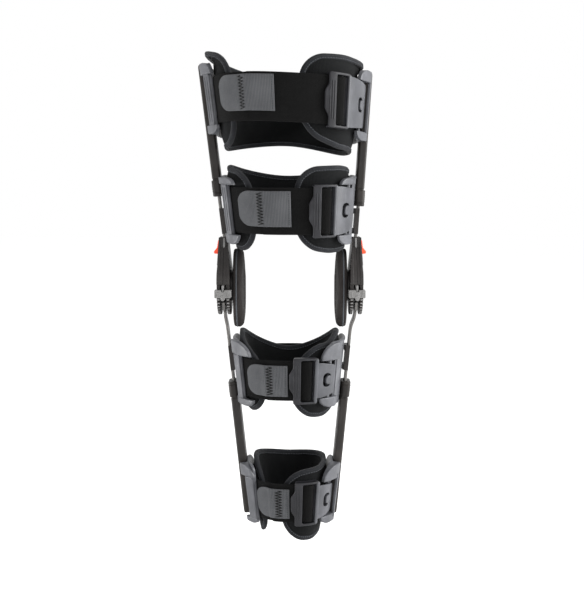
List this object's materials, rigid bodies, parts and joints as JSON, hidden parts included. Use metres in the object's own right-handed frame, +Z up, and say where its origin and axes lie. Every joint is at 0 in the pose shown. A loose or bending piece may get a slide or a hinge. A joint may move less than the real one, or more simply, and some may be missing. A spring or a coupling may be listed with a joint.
{
  "type": "post-op knee brace",
  "caption": "Hinged post-operative knee brace: side uprights with range-limiting hinges, padded cuffs and buckled straps that hold the leg and limit how far the knee bends",
  "frame": {"origin": "middle of the knee axis, halfway between the two hinges", "axes": "+Z up the leg, -Y towards the front of the knee, +X towards the side with the buckles; the hinges turn about X"},
  "size_m": [0.2153, 0.192, 0.6135],
  "materials": {
    "pad_foam": "black brushed loop fabric over foam, bound round its edge",
    "strap_webbing": "black loop-pile webbing",
    "hook_tab": "grey ribbed hook tab, stitched to the strap",
    "shell_plastic": "grey moulded nylon",
    "buckle_plastic": "dark grey moulded nylon, ribbed grip",
    "sleeve_plastic": "dark charcoal moulded plastic",
    "bar_alloy": "satin anodised flat bar",
    "hinge_black": "black glass-filled plastic",
    "clip_grey": "light grey moulded plastic",
    "lock_orange": "orange moulded plastic",
    "pin_steel": "turned steel pivot"
  },
  "bodies": {
    "thigh_frame": {"left_thigh_sleeve": "sleeve_plastic", "left_thigh_bar": "bar_alloy", "left_hinge_housing": "hinge_black", "left_pivot_pin": "pin_steel", "left_stop_clip": "clip_grey", "left_condyle_pad": "pad_foam", "left_lower_thigh_bracket": "hinge_black", "right_thigh_sleeve": "sleeve_plastic", "right_thigh_bar": "bar_alloy", "right_hinge_housing": "hinge_black", "right_pivot_pin": "pin_steel", "right_stop_clip": "clip_grey", "right_condyle_pad": "pad_foam", "right_lower_thigh_bracket": "hinge_black", "upper_thigh_pad": "pad_foam", "upper_thigh_strap": "strap_webbing", "upper_thigh_tab": "hook_tab", "upper_thigh_buckle": "buckle_plastic", "upper_thigh_left_shell": "shell_plastic", "upper_thigh_right_shell": "shell_plastic", "lower_thigh_pad": "pad_foam", "lower_thigh_strap": "strap_webbing", "lower_thigh_tab": "hook_tab", "lower_thigh_buckle": "buckle_plastic", "lower_thigh_left_shell": "shell_plastic", "lower_thigh_right_shell": "shell_plastic"},
    "calf_frame": {"left_calf_arm": "bar_alloy", "left_calf_sleeve": "sleeve_plastic", "left_upper_calf_bracket": "hinge_black", "right_calf_arm": "bar_alloy", "right_calf_sleeve": "sleeve_plastic", "right_upper_calf_bracket": "hinge_black", "upper_calf_pad": "pad_foam", "upper_calf_strap": "strap_webbing", "upper_calf_tab": "hook_tab", "upper_calf_buckle": "buckle_plastic", "upper_calf_left_shell": "shell_plastic", "upper_calf_right_shell": "shell_plastic", "lower_calf_pad": "pad_foam", "lower_calf_strap": "strap_webbing", "lower_calf_tab": "hook_tab", "lower_calf_buckle": "buckle_plastic", "lower_calf_left_shell": "shell_plastic", "lower_calf_right_shell": "shell_plastic"},
    "left_lock": {"left_lock_slider": "lock_orange"},
    "left_thigh_release": {"left_thigh_button": "clip_grey"},
    "left_calf_release": {"left_calf_button": "clip_grey"},
    "right_lock": {"right_lock_slider": "lock_orange"},
    "right_thigh_release": {"right_thigh_button": "clip_grey"},
    "right_calf_release": {"right_calf_button": "clip_grey"}
  },
  "joints": [
    {"name": "knee_flexion", "type": "hinge", "parent": "thigh_frame", "child": "calf_frame", "pos_m": [0, 0, 0], "axis": [1, 0, 0], "range_deg": [-10, 90]},
    {"name": "left_lock_slide", "type": "slide", "parent": "thigh_frame", "child": "left_lock", "axis": [-0.0734, 0, -0.9973], "range_m": [0, 0.008]},
    {"name": "left_thigh_button_press", "type": "slide", "parent": "thigh_frame", "child": "left_thigh_release", "axis": [0.9931, 0, 0.1172], "range_m": [0, 0.0015], "stiffness_N_per_m": 1500},
    {"name": "left_calf_button_press", "type": "slide", "parent": "calf_frame", "child": "left_calf_release", "axis": [0.993, 0, 0.1182], "range_m": [0, 0.0015], "stiffness_N_per_m": 1500},
    {"name": "right_lock_slide", "type": "slide", "parent": "thigh_frame", "child": "right_lock", "axis": [0.0734, 0, -0.9973], "range_m": [0, 0.008]},
    {"name": "right_thigh_button_press", "type": "slide", "parent": "thigh_frame", "child": "right_thigh_release", "axis": [-0.998, 0, 0.0639], "range_m": [0, 0.0015], "stiffness_N_per_m": 1500},
    {"name": "right_calf_button_press", "type": "slide", "parent": "calf_frame", "child": "right_calf_release", "axis": [-0.9958, 0, 0.0916], "range_m": [0, 0.0015], "stiffness_N_per_m": 1500}
  ]
}
